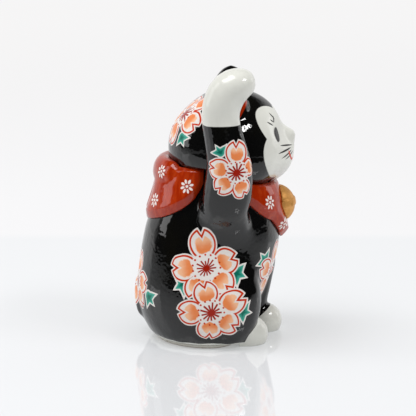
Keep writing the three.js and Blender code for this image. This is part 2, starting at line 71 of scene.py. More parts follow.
# Corners of a CAD mesh that lie closer than this are one corner.
MERGE = 0.01 * MM
# How far a point moves to the middle of its neighbours in one smoothing step.
SMOOTHING = 0.5
# Two faces that turn by more than 20 degrees make a crease, and the glaze flows only this freely there.
CREASE = math.cos(math.radians(20))
CREASE_FLOW = 0.06
# Painting is placed in millimetres from the torso's upright axis, on the ground.
# The cat faces -Y, and its right side is -X.
TORSO_BACK = 31.2 * MM
torso_low, torso_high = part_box("torso_shell")
AXIS = Vector(((torso_low.x + torso_high.x) / 2, torso_high.y - TORSO_BACK, 0))


def linear(hex_colour):
    """An sRGB hex colour as linear red, green and blue."""
    parts = [int(hex_colour[i : i + 2], 16) / 255 for i in (0, 2, 4)]
    return tuple(c / 12.92 if c <= 0.04045 else ((c + 0.055) / 1.055) ** 2.4 for c in parts)


def colour_of(name, description, hex_colour):
    """A colour property, by the sRGB hex of its default."""
    default = linear(hex_colour)
    return FloatVectorProperty(
        name=name, description=description, subtype="COLOR", size=3, min=0, max=1, default=default
    )


def length_of(name, description, millimetres):
    """A length property, by the millimetres of its default."""
    default = millimetres * MM
    return FloatProperty(
        name=name, description=description, unit="LENGTH", subtype="DISTANCE", min=0, default=default
    )


class CatSizes(bpy.types.PropertyGroup):
    """Lengths of the glaze coat and of the camera's place."""

    glaze_cover: length_of("Glaze cover", "How far the glaze fills each luted seam", 0.22)
    body_grain: length_of("Body grain", "Mesh size of the body", 0.6)
    fine_grain: length_of("Fine grain", "Mesh size of the head and the kerchief", 0.45)
    bell_grain: length_of("Bell grain", "Mesh size of the bell and the foot", 0.32)
    seam_hold: length_of("Seam hold", "Reach of a seam in which the glaze keeps its place", 1.1)
    seam_ease: length_of("Seam ease", "Reach over which the glaze is let go beyond a seam", 2.2)
    crease_ease: length_of("Crease ease", "Reach over which the glaze is let go beyond a hem's crease", 1.6)
    ear_round: length_of("Ear rounding", "How far from an ear's tip it is rubbed rounder", 6)
    knot_reach: length_of("Knot reach", "How far from the knot the corner with a flap is rubbed out", 4)
    camera_distance: length_of("Camera distance", "From the camera to the figurine", 900)
    lens: FloatProperty(name="Lens", description="Focal length in millimetres", min=1, default=182.25)


class CatColours(bpy.types.PropertyGroup):
    """Colours of the glazes, enamels and stage."""

    black: colour_of("Black glaze", "Iron-black glaze of coat and ears", "0A0A0A")
    white: colour_of("White glaze", "Clear glaze over porcelain, on face and paws", "E0E0D8")
    bare: colour_of("Bare porcelain", "Unglazed foot", "D2CFC5")
    # Brown for a thin line along the foot's lowest edge.
    bottom_brown: colour_of("Brown bottom edge", "Brown line along the foot's lowest edge", "8C7462")
    kerchief: colour_of("Kerchief red", "Overglaze red of the kerchief", "A32804")
    kerchief_thin: colour_of("Thin red", "Where the red was brushed thinner", "B4390F")
    dots: colour_of("White enamel", "Dot flowers on the kerchief", "F1E6E1")
    gold: colour_of("Gold lustre", "Bell", "E2A457")
    gold_worn: colour_of("Worn gold", "Where the lustre is thin", "BC8338")
    ground: colour_of("Blossom ground", "White enamel under the blossoms", "EAE4DF")
    outline: colour_of("Iron red", "Outlines, dots and mouth", "C83608")
    stamen: colour_of("Stamens", "Overglaze red, laid thick", "A01C05")
    wash: colour_of("Orange wash", "Petal wash", "F6BC94")
    wash_deep: colour_of("Deep wash", "Petal wash where it pooled", "EB884F")
    leaf: colour_of("Leaf green", "Green enamel of the leaves", "3FA894")
    leaf_deep: colour_of("Deep leaf green", "Green enamel where it pooled", "056B5A")
    ink: colour_of("Ink", "Eyes, brows and whiskers", "0C0B0A")
    floor: colour_of("Floor", "Glossy white table", "C4C5C8")
    sheet_tint: colour_of("Sheet tint", "Light that comes through the table's sheet", "FCFFFF")
    paper_tint: colour_of("Paper tint", "Light that comes through the paper behind the sheet", "FFFCFA")


def add(tree, kind, inputs=(), out=0, **settings):
    """Adds a shader node and gives one output back.

    The kind may name an operation after a dot. The inputs are filled by order or by name.
    """
    kind, _, operation = kind.partition(".")
    made = tree.nodes.new(kind if kind.startswith("Node") else "ShaderNode" + kind)
    if operation:
        made.operation = operation
    for key, value in settings.items():
        setattr(made, key, value)
    for key, value in inputs.items() if isinstance(inputs, dict) else enumerate(inputs):
        if isinstance(value, bpy.types.NodeSocket):
            tree.links.new(value, made.inputs[key])
        else:
            made.inputs[key].default_value = value
    return made.outputs[out] if made.outputs else made


# Settings that many nodes share: a soft step, a place in a pattern's own axes, and a blend of two colours,
# which takes the share in socket 0 and the colours in 6 and 7.
SOFT = {"interpolation_type": "SMOOTHSTEP"}
PLACED = {"vector_type": "TEXTURE"}
BLEND = {"out": 2, "data_type": "RGBA"}


def rgba(colour):
    """A colour with full alpha, as sockets take it."""
    return (*colour, 1)


def pick(*objects):
    """Selects only these objects, with the first one active."""
    bpy.ops.object.select_all(action="DESELECT")
    for each in objects:
        each.select_set(True)
    bpy.context.view_layer.objects.active = objects[0]


def finish_with(piece, kind, **settings):
    """Adds a modifier to a piece and applies it."""
    pick(piece)
    modifier = piece.modifiers.new(kind.title(), kind)
    for key, value in settings.items():
        setattr(modifier, key, value)
    bpy.ops.object.modifier_apply(modifier=modifier.name)


def cast_copy(node_names, name, cover):
    """One new piece from copies of CAD nodes, each merged and grown over its half of the seams."""
    copies = []
    for node_name in node_names:
        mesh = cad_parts[node_name].data.copy()
        mesh.materials.clear()
        copy = bpy.data.objects.new(name, mesh)
        bpy.context.scene.collection.objects.link(copy)
        pick(copy)
        bpy.ops.object.mode_set(mode="EDIT")
        bpy.ops.mesh.select_all(action="SELECT")
        bpy.ops.mesh.remove_doubles(threshold=MERGE)
        bpy.ops.object.mode_set(mode="OBJECT")
        if cover:
            finish_with(copy, "DISPLACE", strength=cover, mid_level=0)
        copies.append(copy)
    pick(*copies)
    if len(copies) > 1:
        bpy.ops.object.join()
    piece = bpy.context.view_layer.objects.active
    piece.name = name
    piece.data.name = name
    return piece


def crease_points(mesh, spacing):
    """A search tree of points along a mesh's creases, no further apart than the spacing."""
    sides = {}
    for polygon in mesh.polygons:
        for key in polygon.edge_keys:
            sides.setdefault(key, []).append(polygon.normal)
    points = []
    for (start, end), normals in sides.items():
        if len(normals) == 2 and normals[0].dot(normals[1]) < CREASE:
            first, last = mesh.vertices[start].co, mesh.vertices[end].co
            count = math.ceil((last - first).length / spacing)
            points.extend(first.lerp(last, k / count) for k in range(count + 1))
    tree = KDTree(len(points))
    for index, point in enumerate(points):
        tree.insert(point, index)
    tree.balance()
    return tree


def surface_of(node_name):
    """A search tree over a CAD node's faces."""
    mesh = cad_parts[node_name].data
    points = [vertex.co.copy() for vertex in mesh.vertices]
    return BVHTree.FromPolygons(points, [polygon.vertices[:] for polygon in mesh.polygons])


def near_both(first, second, reach):
    """A weight that falls from 1 in the corner between two CAD nodes to 0 at a distance from it."""
    trees = [surface_of(first), surface_of(second)]

    def weight_at(place):
        hits = [tree.find_nearest(place, reach) for tree in trees]
        if any(hit[0] is None for hit in hits):
            return 0
        return 1 - max(hit[3] for hit in hits) / reach

    return weight_at


def near_point(centre, reach):
    """A weight that falls from 1 at a point to 0 at a distance from it."""
    return lambda place: max(0, 1 - ((place - centre).length / reach) ** 2) ** 2


def rub(piece, weight_at, steps):
    """Rubs a part of a piece smoother, as with a wet sponge on slip."""
    rubbed = piece.vertex_groups.new(name="rubbed")
    for vertex in piece.data.vertices:
        weight = weight_at(vertex.co)
        if weight > 0:
            rubbed.add([vertex.index], weight, "REPLACE")
    finish_with(piece, "SMOOTH", factor=SMOOTHING, iterations=steps, vertex_group="rubbed")
    piece.vertex_groups.clear()


def flow_glaze(piece, sizes, grain, steps, neighbours=(), ground_hold=0.6 * MM, keep_creases=False):
    """Melts a piece's facets into one smooth coat, which keeps its place on the ground and in the seams."""
    creases = crease_points(piece.data, grain) if keep_creases else None
    finish_with(piece, "REMESH", mode="VOXEL", voxel_size=grain, adaptivity=0)
    trees = [surface_of(name) for name in neighbours]
    free = piece.vertex_groups.new(name="free")
    reach = sizes.seam_hold + sizes.seam_ease
    for vertex in piece.data.vertices:
        away = vertex.co.z - ground_hold + sizes.seam_hold
        for tree in trees:
            hit = tree.find_nearest(vertex.co, reach)
            if hit[0] is not None:
                away = min(away, hit[3])
        weight = min(max((away - sizes.seam_hold) / sizes.seam_ease, 0), 1)
        if creases:
            near = creases.find(vertex.co)[2]
            weight *= min(max(near / sizes.crease_ease, CREASE_FLOW), 1)
        free.add([vertex.index], weight, "REPLACE")
    finish_with(piece, "SMOOTH", factor=SMOOTHING, iterations=steps, vertex_group="free")
    piece.vertex_groups.clear()
    for vertex in piece.data.vertices:
        vertex.co = [min(max(c, low), high) for c, low, high in zip(vertex.co, *CAD_BOX)]
    pick(piece)
    bpy.ops.object.shade_smooth()
    if not piece.data.polygons:
        raise RuntimeError(f"{piece.name} has no faces left")


def hand_over(piece, material, node_names):
    """Gives a finished piece its material and ties it to the frame."""
    piece.data.materials.clear()
    piece.data.materials.append(material)
    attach(piece, "root")
    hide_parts(*node_names)


def spot(centre, normal, turn, size):
    """A Mapping's settings for a flat pattern on the surface, its x axis turned from the viewer's right."""
    out = Vector(normal).normalized()
    right = Vector((0, 0, 1)).cross(out).normalized()
    up = out.cross(right)
    angle = math.radians(turn)
    along = math.cos(angle) * right + math.sin(angle) * up
    axes = Matrix((along, out.cross(along), out)).transposed()
    return {"Location": Vector(centre), "Rotation": axes.to_euler("XYZ"), "Scale": (size,) * 3}


def brush_group(name, outputs):
    """An empty node group that takes a place on a pattern and gives its paint."""
    group = bpy.data.node_groups.new(name, "ShaderNodeTree")
    group.interface.new_socket("Place", in_out="INPUT", socket_type="NodeSocketVector")
    for label, kind in outputs:
        group.interface.new_socket(label, in_out="OUTPUT", socket_type=kind)
    return group, add(group, "NodeGroupInput")


# What a painted pattern gives: how much it covers, and its colour.
PAINT = (("Cover", "NodeSocketFloat"), ("Colour", "NodeSocketColor"))
# Brush patterns by name. main() fills it.
PATTERNS = {}
# Further from a pattern's middle than any of its paint reaches, in radii.
FAR = 9.0
# How far a pattern is laid, in radii, with room for the longest petal and the white round it.
PATTERN_REACH = 1.22
# How much of a fall below a pattern's plane counts as way across it, and how much is left out of that.
BEND_SHARE = 0.8
BEND_SLACK = 0.18


def nearest_ray(tree, angle, count):
    """The angle from the nearest of a number of evenly spaced rays, and that ray's number."""
    turns = add(tree, "Math.MULTIPLY", (angle, count / math.tau))
    number = add(tree, "Math.ROUND", (turns,))
    part = add(tree, "Math.SUBTRACT", (turns, number))
    return add(tree, "Math.MULTIPLY", (part, math.tau / count)), number


def polar(tree, place, wobble):
    """Distance and angle from a pattern's middle, and the place there, shaken as by a hand with a brush."""
    shake = add(tree, "TexNoise", {"Vector": place, "Scale": 1.5, "Detail": 1.0}, out="Color")
    shaken = add(tree, "VectorMath.MULTIPLY_ADD", (shake, (wobble, wobble, 0), place))
    centred = add(tree, "VectorMath.ADD", (shaken, (-wobble / 2, -wobble / 2, 0)))
    flat = add(tree, "VectorMath.MULTIPLY", (centred, (1, 1, 0)))
    x = add(tree, "SeparateXYZ", (centred,))
    angle = add(tree, "Math.ARCTAN2", (x.node.outputs["Y"], x))
    # Where the surface bends away, the brush follows it, so the pattern is not drawn out down the side.
    below = add(tree, "Math.MULTIPLY_ADD", (x.node.outputs["Z"], -BEND_SHARE, -BEND_SLACK))
    bend = add(tree, "Math.MAXIMUM", (below, 0.0))
    straight = add(tree, "VectorMath.LENGTH", (flat,), out="Value")
    radius = add(tree, "Math.ADD", (straight, bend))
    share = add(tree, "Math.DIVIDE", (radius, straight))
    unrolled = add(tree, "VectorMath.SCALE", {"Vector": flat, "Scale": share})
    return radius, angle, unrolled


def oval_way(tree, along, across, middle, half_length, half_width):
    """How many half axes a point lies from an oval's middle, in all and lengthwise."""
    offset = add(tree, "Math.SUBTRACT", (along, middle))
    lengthwise = add(tree, "Math.MULTIPLY", (offset, 1 / half_length))
    sideways = add(tree, "Math.MULTIPLY", (across, 1 / half_width))
    way = add(tree, "CombineXYZ", (lengthwise, sideways))
    return add(tree, "VectorMath.LENGTH", (way,), out="Value"), lengthwise


# Petals of each blossom: turn in degrees from the viewer's right, and length as a share of the radius.
UPPER_PETALS = ((98.6, 1.07), (20.3, 0.88), (-42, 0.9), (-115, 0.92), (180, 0.98))
LOWER_PETALS = ((105, 0.94), (26, 1.08), (-31, 0.89), (-96, 0.8), (180, 0.97))
ARM_PETALS = ((91, 1.1), (20, 0.96), (-70.5, 0.98), (-137, 0.94), (168, 0.98))
# Blossoms: petals, stamens, their half width and shortest reach, and the pooling where a wash is deepest.
BLOSSOMS = {
    "upper_blossom": (UPPER_PETALS, 14, 0.014, 0.2, 1.05),
    "lower_blossom": (LOWER_PETALS, 13, 0.02, 0.24, 1.0),
    "arm_blossom": (ARM_PETALS, 12, 0.025, 0.27, 0.85),
}
# Ovals of a petal, its wash and a dot flower's dab: middle, half length and half width, in radii.
PETAL_OVAL = (0.64, 0.38, 0.345)
WASH_OVAL = (0.61, 0.23, 0.256)
DAB_OVAL = (0.66, 0.3, 0.17)
# Depth of a petal's middle, its notch's start and slope, and the share of the way to that which is depth.
PETAL_DEPTH = 0.36
NOTCH_START = 0.82
NOTCH_SLOPE = 1.7
NOTCH_SHARE = 0.5
# How softly a stamen's side ends, and how much longer than the shortest one it may be.
STAMEN_SOFT = 0.014
STAMEN_SPREAD = 0.09
# Dots beyond the stamens: how many, and their distance from the middle.
DOT_COUNT = 15
DOT_RING = 0.38
# How strongly brush marks break a wash's edge, and how strongly they show in its colour.
WASH_BREAK = 0.9
WASH_MARKS = 0.5


def blossom_brushwork(name, colours, petals, stamen_count, stamen_half, stamen_reach, deepest):
    """A cherry blossom: notched petals outlined in red on white, with washes, stamens and dots."""
    group, place = brush_group(name, PAINT)
    radius, angle, flat = polar(group, place, wobble=0.1)
    brushed = add(group, "TexNoise", {"Vector": place, "Scale": 4.0, "Detail": 4.0})
    ragged = add(group, "Math.MULTIPLY_ADD", (brushed, WASH_BREAK, -WASH_BREAK / 2))
    depth, wash, pool = -FAR, 0.0, 0.0
    for turn, length in petals:
        placing = {"Vector": flat, "Rotation": (0, 0, math.radians(turn)), "Scale": (length, 1, 1)}
        along = add(group, "SeparateXYZ", (add(group, "Mapping", placing, **PLACED),))
        across = add(group, "Math.ABSOLUTE", (along.node.outputs["Y"],))
        # A petal is an egg with a pointed notch in its tip. Depth is how far inside its edge a point lies.
        petal_reach, _ = oval_way(group, along, across, *PETAL_OVAL)
        egg = add(group, "Math.MULTIPLY_ADD", (petal_reach, -PETAL_DEPTH, PETAL_DEPTH))
        notch_edge = add(group, "Math.MULTIPLY_ADD", (across, NOTCH_SLOPE, NOTCH_START))
        notch_way = add(group, "Math.SUBTRACT", (notch_edge, along))
        notch = add(group, "Math.MULTIPLY", (notch_way, NOTCH_SHARE))
        inside = add(group, "Math.MINIMUM", (egg, notch))
        depth = add(group, "Math.MAXIMUM", (depth, inside))
        # The wash is one dab in the petal's middle, deeper where it pooled towards the heart.
        wash_reach, wash_long = oval_way(group, along, across, *WASH_OVAL)
        wash_edge = add(group, "Math.ADD", (wash_reach, ragged))
        dab = add(group, "MapRange", (wash_edge, 1.06, 0.86), **SOFT)
        short = add(group, "MapRange", (inside, 0.045, 0.08), **SOFT)
        dabbed = add(group, "Math.MULTIPLY", (dab, short))
        wash = add(group, "Math.MAXIMUM", (wash, dabbed))
        lean = add(group, "MapRange", (wash_long, 0.9, -0.9))
        deep = add(group, "Math.MULTIPLY", (lean, dabbed))
        pool = add(group, "Math.MAXIMUM", (pool, deep))
    edge = add(group, "Math.ABSOLUTE", (depth,))
    line = add(group, "MapRange", (edge, 0.035, 0.019), **SOFT)
    open_base = add(group, "MapRange", (radius, 0.42, 0.46), **SOFT)
    outline = add(group, "Math.MULTIPLY", (line, open_base))
    halo = add(group, "MapRange", (depth, -0.075, -0.055), **SOFT)
    heart = add(group, "MapRange", (radius, 0.5, 0.47), **SOFT)
    cover = add(group, "Math.MAXIMUM", (halo, heart))
    pooled = add(group, "Math.MULTIPLY_ADD", (brushed, WASH_MARKS, pool))
    depth_of_wash = add(group, "MapRange", (pooled, 0.4, deepest), **SOFT)
    tints = {0: depth_of_wash, 6: rgba(colours.wash), 7: rgba(colours.wash_deep)}
    washed = add(group, "Mix", tints, **BLEND)
    # Stamens, and a ring of dots beyond their ends.
    stamen, stamen_number = nearest_ray(group, angle, stamen_count)
    stamen_aside = add(group, "Math.MULTIPLY", (stamen, radius))
    stamen_across = add(group, "Math.ABSOLUTE", (stamen_aside,))
    stroke = add(group, "MapRange", (stamen_across, stamen_half + STAMEN_SOFT, stamen_half), **SOFT)
    uneven = add(group, "TexWhiteNoise", {"W": stamen_number}, noise_dimensions="1D")
    stamen_end = add(group, "Math.MULTIPLY_ADD", (uneven, STAMEN_SPREAD, stamen_reach))
    beyond = add(group, "Math.SUBTRACT", (radius, stamen_end))
    stroke_end = add(group, "MapRange", (beyond, 0.02, 0.0), **SOFT)
    stamens = add(group, "Math.MULTIPLY", (stroke, stroke_end))
    dot, _ = nearest_ray(group, angle, DOT_COUNT)
    dot_aside = add(group, "Math.MULTIPLY", (dot, radius))
    dot_reach, _ = oval_way(group, radius, dot_aside, DOT_RING, 1, 1)
    dots = add(group, "MapRange", (dot_reach, 0.036, 0.022), **SOFT)
    red = add(group, "Math.MAXIMUM", (outline, dots))
    colour = add(group, "Mix", {0: wash, 6: rgba(colours.ground), 7: washed}, **BLEND)
    colour = add(group, "Mix", {0: red, 6: colour, 7: rgba(colours.outline)}, **BLEND)
    colour = add(group, "Mix", {0: stamens, 6: colour, 7: rgba(colours.stamen)}, **BLEND)
    add(group, "NodeGroupOutput", (cover, colour))
    return group


# Points of a leaf: turn in degrees from its middle point, and length. All taper from one half width.
LEAF_POINTS = ((-72, 0.95), (0, 0.84), (62, 1.0))
LEAF_HALF = 0.44


def leaf_brushwork(colours):
    """A small broad leaf with three points, green on a white ground."""
    group, place = brush_group("leaf_brushwork", PAINT)
    _, _, flat = polar(group, place, wobble=0.12)
    depth = -FAR
    for turn, length in LEAF_POINTS:
        placing = {"Vector": flat, "Rotation": (0, 0, math.radians(turn))}
        along = add(group, "SeparateXYZ", (add(group, "Mapping", placing, **PLACED),))
        ahead = add(group, "Math.MAXIMUM", (along, 0.0))
        taper = add(group, "Math.MULTIPLY_ADD", (ahead, -LEAF_HALF / length, LEAF_HALF))
        behind = add(group, "Math.MINIMUM", (along, 0.0))
        way = add(group, "CombineXYZ", (behind, along.node.outputs["Y"]))
        reach = add(group, "VectorMath.LENGTH", (way,), out="Value")
        inside = add(group, "Math.SUBTRACT", (taper, reach))
        depth = add(group, "Math.MAXIMUM", (depth, inside))
    cover = add(group, "MapRange", (depth, -0.115, -0.09), **SOFT)
    green = add(group, "MapRange", (depth, 0.0, 0.06), **SOFT)
    pool = add(group, "MapRange", (depth, 0.05, 0.36), **SOFT)
    leaf = add(group, "Mix", {0: pool, 6: rgba(colours.leaf), 7: rgba(colours.leaf_deep)}, **BLEND)
    colour = add(group, "Mix", {0: green, 6: rgba(colours.ground), 7: leaf}, **BLEND)
    add(group, "NodeGroupOutput", (cover, colour))
    return group


# Dabs round a dot flower's middle.
DAB_COUNT = 8


def dot_flower_brushwork(colours):
    """A ring of dabs of white enamel round one more."""
    group, place = brush_group("dot_flower_brushwork", PAINT)
    radius, angle, _ = polar(group, place, wobble=0.16)
    dab, _ = nearest_ray(group, angle, DAB_COUNT)
    cosine = add(group, "Math.COSINE", (dab,))
    sine = add(group, "Math.SINE", (dab,))
    along = add(group, "Math.MULTIPLY", (radius, cosine))
    aside = add(group, "Math.MULTIPLY", (radius, sine))
    dab_reach, _ = oval_way(group, along, aside, *DAB_OVAL)
    dabs = add(group, "MapRange", (dab_reach, 1.12, 0.85), **SOFT)
    middle = add(group, "MapRange", (radius, 0.24, 0.18), **SOFT)
    cover = add(group, "Math.MAXIMUM", (dabs, middle))
    add(group, "NodeGroupOutput", (cover, rgba(colours.dots)))
    return group


def stroke_brushwork():
    """One tapered stroke of a pointed brush, from 0 to 1 along x."""
    group, place = brush_group("stroke_brushwork", PAINT[:1])
    x = add(group, "SeparateXYZ", (place,))
    past = add(group, "Math.SUBTRACT", (1.0, x))
    # The belly is a quarter at most, and a power below 1 makes the ends blunter.
    belly = add(group, "Math.MULTIPLY", (x, past))
    fuller = add(group, "Math.MULTIPLY", (belly, 4.0))
    kept = add(group, "Math.MAXIMUM", (fuller, 0.0))
    width = add(group, "Math.POWER", (kept, 0.6))
    across = add(group, "Math.ABSOLUTE", (x.node.outputs["Y"],))
    depth = add(group, "Math.SUBTRACT", (width, across))
    add(group, "NodeGroupOutput", (add(group, "MapRange", (depth, 0.0, 0.3), **SOFT),))
    return group


def empty_material(name):
    """A new material without nodes, and its node tree."""
    material = bpy.data.materials.new(name)
    material.use_nodes = True
    material.node_tree.nodes.clear()
    return material, material.node_tree


def new_paint(name):
    """An empty material, its nodes, and each point's place in millimetres from the cat's axis."""
    material, tree = empty_material(name)
    coordinates = add(tree, "TexCoord", out="Object")
    placing = {"Vector": coordinates, "Location": AXIS, "Scale": (MM, MM, MM)}
    return material, tree, add(tree, "Mapping", placing, **PLACED)


def lay(tree, place, spots, group):
    """Puts a brush pattern at each of its spots, and gives its cover and colour."""
    local = (FAR, FAR, FAR)
    for each in spots:
        here = add(tree, "Mapping", {"Vector": place, **each}, **PLACED)
        reach = add(tree, "VectorMath.LENGTH", (here,), out="Value")
        inside = add(tree, "Math.LESS_THAN", (reach, PATTERN_REACH))
        local = add(tree, "Mix", {0: inside, 4: local, 5: here}, out=1, data_type="VECTOR")
    cover = add(tree, "Group", (local,), node_tree=group)
    return cover, cover.node.outputs["Colour"]


def radii_away(tree, place, centre, radii):
    """How many radii a point lies from an oval's middle."""
    placing = {"Vector": place, "Location": centre, "Scale": radii}
    here = add(tree, "Mapping", placing, **PLACED)
    return add(tree, "VectorMath.LENGTH", (here,), out="Value")


def fold(tree, place):
    """How far aside, along and up a point lies, and its place with the right side folded onto the left."""
    x = add(tree, "SeparateXYZ", (place,))
    y, z = x.node.outputs["Y"], x.node.outputs["Z"]
    side = add(tree, "Math.ABSOLUTE", (x,))
    return side, y, z, add(tree, "CombineXYZ", (side, y, z))


# Roughness of each coat.
BLACK_ROUGH = 0.045
CLEAR_ROUGH = 0.15
ENAMEL_ROUGH = 0.22
RED_ROUGH = 0.07
DAB_ROUGH = 0.25
# Mirror light of each coat, where 0.5 is what a glass of this index gives.
GLAZE_IOR = 1.56
GLAZE_SHINE = 0.5
ENAMEL_SHINE = 0.2
RED_SHINE = 0.38
# Height of the clear glaze's edge over the black one, as a share of the enamel's height.
CLEAR_RISE = 0.3
# What a thin coat does to the black glaze's red, green and blue.
THIN_BROWN = (1.5, 1.35, 0.8)


def fire(tree, place, paint, raised, roughness, shine):
    """Ends a material as fired glaze: raised enamel, and the slight unevenness of a dipped coat."""
    # A dipped coat is uneven by about two hundredths of a millimetre over about 7 mm.
    ripple = add(tree, "TexNoise", {"Vector": place, "Scale": 0.14, "Detail": 1.0})
    uneven = add(tree, "Bump", {"Strength": 0.12, "Distance": 0.3 * MM, "Height": ripple})
    # Its skin is dimpled like an orange's, by a few hundredths of a millimetre over about 2.4 mm.
    dimples = add(tree, "TexNoise", {"Vector": place, "Scale": 0.42, "Detail": 1.0})
    uneven = add(tree, "Bump", {"Strength": 0.9, "Distance": 0.1 * MM, "Height": dimples, "Normal": uneven})
    proud = add(tree, "Bump", {"Strength": 0.6, "Distance": 0.06 * MM, "Height": raised, "Normal": uneven})
    coat = {"Base Color": paint, "Roughness": roughness, "Normal": proud}
    shader = add(tree, "BsdfPrincipled", {**coat, "IOR": GLAZE_IOR, "Specular IOR Level": shine})
    add(tree, "OutputMaterial", (shader,))


def painted_glaze(name, colours, white, blossom_layers, leaf_spots, details=None):
    """Black and white porcelain glaze with overglaze enamel blossoms.

    Black iron glaze is deep and mirror-like, and reflects the room in hard edges. The clear glaze over
    white is a little softer and slightly warm. Enamel stands proud and is less glossy.
    """
    material, tree, place = new_paint(name)
    cloud = add(tree, "TexNoise", {"Vector": place, "Scale": 0.09, "Detail": 3.0})
    cloud_shade = add(tree, "MapRange", (cloud, 0.3, 0.7, 0.93, 1.0))
    clear = add(tree, "VectorMath.MULTIPLY", (tuple(colours.white), cloud_shade))
    brown = tuple(min(1, c * k) for c, k in zip(colours.black, THIN_BROWN))
    thin = add(tree, "MapRange", (cloud, 0.5, 0.75, 0.0, 0.7))
    dark = add(tree, "Mix", {0: thin, 6: rgba(colours.black), 7: rgba(brown)}, **BLEND)
    white_cover = white(tree, place)
    paint = add(tree, "Mix", {0: white_cover, 6: dark, 7: clear}, **BLEND)
    raised = add(tree, "Math.MULTIPLY", (white_cover, CLEAR_RISE))
    if details:
        paint, raised = details(tree, place, paint, raised, colours)
    leaves, leaf_colour = lay(tree, place, leaf_spots, PATTERNS["leaf"])
    paint = add(tree, "Mix", {0: leaves, 6: paint, 7: leaf_colour}, **BLEND)
    enamel = leaves
    for kind, spots in blossom_layers:
        blossoms, blossom_colour = lay(tree, place, spots, PATTERNS[kind])
        paint = add(tree, "Mix", {0: blossoms, 6: paint, 7: blossom_colour}, **BLEND)
        enamel = add(tree, "Math.MAXIMUM", (enamel, blossoms))
    raised = add(tree, "Math.MAXIMUM", (raised, enamel))
    gloss = add(tree, "MapRange", (white_cover, 0.0, 1.0, BLACK_ROUGH, CLEAR_ROUGH))
    roughness = add(tree, "MapRange", (enamel, 0.0, 1.0, gloss, ENAMEL_ROUGH))
    # Overglaze colours mirror less than the glaze under them.
    shine = add(tree, "MapRange", (raised, CLEAR_RISE, 1.0, GLAZE_SHINE, ENAMEL_SHINE))
    fire(tree, place, paint, raised, roughness, shine)
    return material


# White parts of the body, in millimetres from the cat's axis: ovals by middle and radii, the lines that
# they end on by slope and start, and how softly. Wrist and rim end at a height, with some waviness.
FOOT_OVAL = ((15.8, -14.9, 4), (9.6, 10.8, 9.4))
FOOT_LINE = (-0.5, -13.4)
PAW_OVAL = ((6, -25, 4), (8.9, 7.4, 16))
PAW_LINE = (-0.8, -9.8)
LINE_SOFT = 0.3
WRIST_EDGE = (97.6, 97.9)
RIM_EDGE = (3.5, 3.2)
EDGE_WAVE = 1.6


def white_end(tree, place, oval, line, run, rise):
    """White in an oval, as far as a brushed line."""
    reach = radii_away(tree, place, *oval)
    part = add(tree, "Math.LESS_THAN", (reach, 1.0))
    limit = add(tree, "Math.MULTIPLY_ADD", (run, *line))
    short = add(tree, "Math.SUBTRACT", (limit, rise))
    brushed = add(tree, "MapRange", (short, 0.0, LINE_SOFT), **SOFT)
    return add(tree, "Math.MULTIPLY", (part, brushed))


def body_white(tree, place):
    """White hind feet, paws and rim, each ending on a brushed line."""
    _, y, z, folded = fold(tree, place)
    feet = white_end(tree, folded, FOOT_OVAL, FOOT_LINE, z, y)
    paw = white_end(tree, place, PAW_OVAL, PAW_LINE, y, z)
    legs = add(tree, "Math.MAXIMUM", (feet, paw))
    wave = add(tree, "TexNoise", {"Vector": place, "Scale": 0.16, "Detail": 0.0})
    uneven_z = add(tree, "Math.MULTIPLY_ADD", (wave, EDGE_WAVE, z))
    wrist = add(tree, "MapRange", (uneven_z, *WRIST_EDGE), **SOFT)
    rim = add(tree, "MapRange", (uneven_z, *RIM_EDGE), **SOFT)
    ends = add(tree, "Math.MAXIMUM", (wrist, rim))
    return add(tree, "Math.MAXIMUM", (legs, ends))


# Lobes of the white face by middle and radii, where depth doesn't count, and how far back the white goes.
FACE_OVALS = (
    ((9.5, 0, 90.3), (10.2, 900, 10.2)),
    ((8.4, 0, 81.2), (14.6, 900, 11)),
    ((0, 0, 90), (8, 900, 9.8)),
    ((0, 0, 76), (10.5, 900, 9.5)),
)
FACE_BACK = -9.0


def head_white(tree, place):
    """White face with a lobe over each eye and one on each cheek."""
    _, y, _, folded = fold(tree, place)
    nearest = FAR
    for oval in FACE_OVALS:
        nearest = add(tree, "Math.MINIMUM", (radii_away(tree, folded, *oval), nearest))
    ahead = add(tree, "Math.LESS_THAN", (y, FACE_BACK))
    lobes = add(tree, "MapRange", (nearest, 1.012, 0.988), **SOFT)
    return add(tree, "Math.MULTIPLY", (ahead, lobes))


# Face painting on one side, mirrored to the other: start, end and half width of each stroke, as |x| and z.
# The eye is a tall almond that leans in at the top.
EYE_STROKES = (((13.9, 86.0), (10.2, 91.9), 2.7),)
BROW_STROKES = (
    ((8.8, 94.8), (9.8, 97.8), 0.48),
    ((10.6, 93.9), (12.2, 95.3), 0.42),
    ((12.4, 92.8), (14.7, 94.7), 0.48),
    ((8.4, 96.3), (10.8, 93.7), 0.4),
)
WHISKER_STROKES = (
    ((3.0, 83.0), (13.1, 84.4), 0.42),
    ((4.6, 82.2), (15.8, 81.4), 0.48),
    ((4.6, 81.3), (13.6, 78.9), 0.38),
    ((3.4, 80.6), (11.0, 78.0), 0.36),
)
MOUTH_STROKES = (
    ((7.8, 81.5), (7.2, 78.7), 0.8),
    ((7.6, 79.9), (5.7, 77.2), 0.72),
    ((6.6, 77.8), (3.6, 77.0), 0.66),
    ((4.7, 76.9), (1.6, 78.1), 0.6),
    ((2.8, 77.3), (-0.6, 79.5), 0.56),
)
# How far back the strokes go, and how far back or ahead of its start one may lie.
STROKES_BACK = -14.0
STROKE_DEPTH = 100


def stroke_spot(start, end, half_width):
    """A Mapping's settings that turn a stroke on the face to 0..1 along x, and half widths along y."""
    run = Vector((end[0] - start[0], 0, end[1] - start[1]))
    along = run.normalized()
    out = Vector((0, -1, 0))
    axes = Matrix((along, out.cross(along), out)).transposed()
    placed = Vector((start[0], 0, start[1]))
    scale = (run.length, half_width, STROKE_DEPTH)
    return {"Location": placed, "Rotation": axes.to_euler("XYZ"), "Scale": scale}


